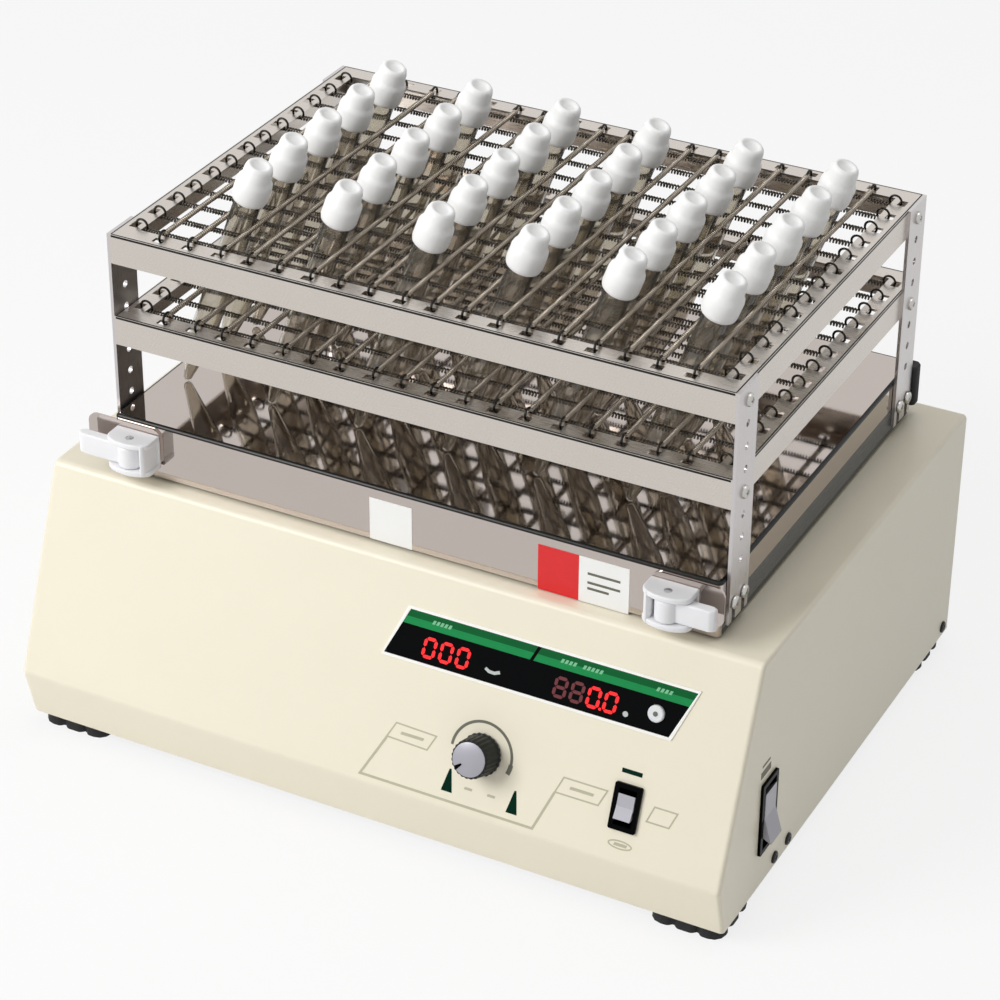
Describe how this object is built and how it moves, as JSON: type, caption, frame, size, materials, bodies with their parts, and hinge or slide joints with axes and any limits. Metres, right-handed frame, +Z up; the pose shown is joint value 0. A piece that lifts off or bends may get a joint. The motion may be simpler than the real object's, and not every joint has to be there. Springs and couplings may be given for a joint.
{
  "type": "orbital test-tube shaker",
  "caption": "Bench shaker: a crank-driven platform swirls a two-tier spring-net rack of leaning capped test tubes above a wedge-fronted housing.",
  "frame": {"origin": "on the bench, under the middle of the housing and its fittings", "axes": "+X to the operator's right, +Y to the rear, +Z up"},
  "size_m": [0.4805, 0.3777, 0.3717],
  "materials": {
    "case_paint": "satin cream enamel",
    "zinc_sheet": "zinc plated",
    "black_rubber": "matt",
    "black_screw": "black oxide",
    "polished_sheet": "polished stainless",
    "brushed_sheet": "fine brushed stainless",
    "spring_wire": "drawn stainless wire",
    "bright_screw": "bright",
    "clear_glass": "clear",
    "white_cap": "soft white",
    "white_nylon": "satin white",
    "machined_steel": "machined",
    "cast_alloy": "as cast",
    "bearing_steel": "ground",
    "belt_rubber": "ribbed",
    "motor_enamel": "semi-gloss black",
    "board_green": "solder mask",
    "brass_post": "turned",
    "window_black": "gloss",
    "digit_red": "lit red",
    "button_white": "gloss",
    "knob_grey": "satin grey",
    "switch_black": "semi-gloss",
    "rocker_grey": "satin grey"
  },
  "bodies": {
    "base": {"base_plate": "zinc_sheet", "body_cover": "case_paint", "board_standoffs": "brass_post", "button_switch": "switch_black", "control_board": "board_green", "cover_screws": "black_screw", "deck_pillars": "zinc_sheet", "digit_modules": "digit_red", "display_board": "board_green", "display_window": "window_black", "drive_belt": "belt_rubber", "drive_deck": "zinc_sheet", "foot_screws": "bright_screw", "idler_bearings": "bearing_steel", "idler_housings": "cast_alloy", "inlet_screws": "bright_screw", "main_bearing_housing": "cast_alloy", "main_bearings": "bearing_steel", "motor": "motor_enamel", "power_inlet": "switch_black", "power_switch_frame": "switch_black", "rubber_feet": "black_rubber", "run_switch_frame": "switch_black", "speed_control": "switch_black"},
    "crank": {"crankshaft": "machined_steel", "counterweight": "machined_steel", "drive_pulley": "cast_alloy"},
    "platform": {"platform": "polished_sheet", "platform_hub": "cast_alloy", "hub_bearings": "bearing_steel", "idler_hubs": "cast_alloy", "idler_hub_bearings": "bearing_steel", "rack_studs": "bright_screw", "latch_base_left": "white_nylon", "latch_base_right": "white_nylon", "latch_plates": "polished_sheet", "latch_pins": "bright_screw"},
    "idler_front_left": {"idler_crank_front_left": "machined_steel"},
    "idler_front_right": {"idler_crank_front_right": "machined_steel"},
    "idler_rear_left": {"idler_crank_rear_left": "machined_steel"},
    "idler_rear_right": {"idler_crank_rear_right": "machined_steel"},
    "motor_rotor": {"motor_spindle": "machined_steel", "motor_pulley": "cast_alloy"},
    "latch_left": {"latch_lever_left": "white_nylon"},
    "latch_right": {"latch_lever_right": "white_nylon"},
    "rack": {"rack_posts": "brushed_sheet", "middle_tier_frame": "brushed_sheet", "top_tier_frame": "brushed_sheet", "middle_cross_springs": "spring_wire", "middle_long_springs": "spring_wire", "top_cross_springs": "spring_wire", "top_long_springs": "spring_wire", "tier_screws": "bright_screw"},
    "tubes": {"test_tubes": "clear_glass"},
    "caps": {"tube_caps": "white_cap"},
    "speed_knob": {"speed_knob": "knob_grey", "control_spindle": "machined_steel"},
    "set_button": {"set_button": "button_white"},
    "run_rocker": {"run_switch_rocker": "rocker_grey"},
    "power_rocker": {"power_switch_rocker": "rocker_grey"}
  },
  "joints": [
    {"name": "crank_turn", "type": "hinge", "parent": "base", "child": "crank", "pos_m": [0, 0.032, 0.15], "axis": [0, 0, 1], "continuous": true},
    {"name": "platform_pin", "type": "hinge", "parent": "crank", "child": "platform", "pos_m": [0.00365, 0.02005, 0.19], "axis": [0, 0, 1], "continuous": true},
    {"name": "idler_front_left_turn", "type": "hinge", "parent": "base", "child": "idler_front_left", "pos_m": [-0.12, -0.063, 0.15], "axis": [0, 0, 1], "continuous": true},
    {"name": "idler_front_right_turn", "type": "hinge", "parent": "base", "child": "idler_front_right", "pos_m": [0.12, -0.063, 0.15], "axis": [0, 0, 1], "continuous": true},
    {"name": "idler_rear_left_turn", "type": "hinge", "parent": "base", "child": "idler_rear_left", "pos_m": [-0.12, 0.127, 0.15], "axis": [0, 0, 1], "continuous": true},
    {"name": "idler_rear_right_turn", "type": "hinge", "parent": "base", "child": "idler_rear_right", "pos_m": [0.12, 0.127, 0.15], "axis": [0, 0, 1], "continuous": true},
    {"name": "motor_turn", "type": "hinge", "parent": "base", "child": "motor_rotor", "pos_m": [-0.112, 0.032, 0.1], "axis": [0, 0, 1], "continuous": true},
    {"name": "latch_left_swing", "type": "hinge", "parent": "platform", "child": "latch_left", "pos_m": [-0.17805, -0.13645, 0.192], "axis": [0, 0, 1], "range_deg": [0, 110]},
    {"name": "latch_right_swing", "type": "hinge", "parent": "platform", "child": "latch_right", "pos_m": [0.17636, -0.13645, 0.192], "axis": [0, 0, -1], "range_deg": [0, 110]},
    {"name": "rack_lift", "type": "slide", "parent": "platform", "child": "rack", "axis": [0, 0, 1], "range_m": [0, 0.15]},
    {"name": "tube_draw", "type": "slide", "parent": "rack", "child": "tubes", "axis": [0.3473, 0, 0.9377], "range_m": [0, 0.17]},
    {"name": "cap_pull", "type": "slide", "parent": "tubes", "child": "caps", "axis": [0.3473, 0, 0.9377], "range_m": [0, 0.04]},
    {"name": "speed_knob_turn", "type": "hinge", "parent": "base", "child": "speed_knob", "pos_m": [0.078, -0.17032, 0.07945], "axis": [0, -0.933, 0.36], "range_deg": [-150, 150]},
    {"name": "set_button_press", "type": "slide", "parent": "base", "child": "set_button", "axis": [0, 0.933, -0.36], "range_m": [0, 0.001], "stiffness_N_per_m": 1500, "springref_m": -0.001},
    {"name": "run_rocker_tip", "type": "hinge", "parent": "base", "child": "run_rocker", "pos_m": [0.1715, -0.17194, 0.07525], "axis": [1, 0, 0], "range_deg": [0, 16]},
    {"name": "power_rocker_tip", "type": "hinge", "parent": "base", "child": "power_rocker", "pos_m": [0.236, -0.119, 0.06], "axis": [0, 1, 0], "range_deg": [0, 16]}
  ],
  "couplings": [
    {"joint": "platform_pin", "follows": "crank_turn", "ratio": -1},
    {"joint": "idler_front_left_turn", "follows": "crank_turn", "ratio": 1},
    {"joint": "idler_front_right_turn", "follows": "crank_turn", "ratio": 1},
    {"joint": "idler_rear_left_turn", "follows": "crank_turn", "ratio": 1},
    {"joint": "idler_rear_right_turn", "follows": "crank_turn", "ratio": 1},
    {"joint": "motor_turn", "follows": "crank_turn", "ratio": 3}
  ]
}
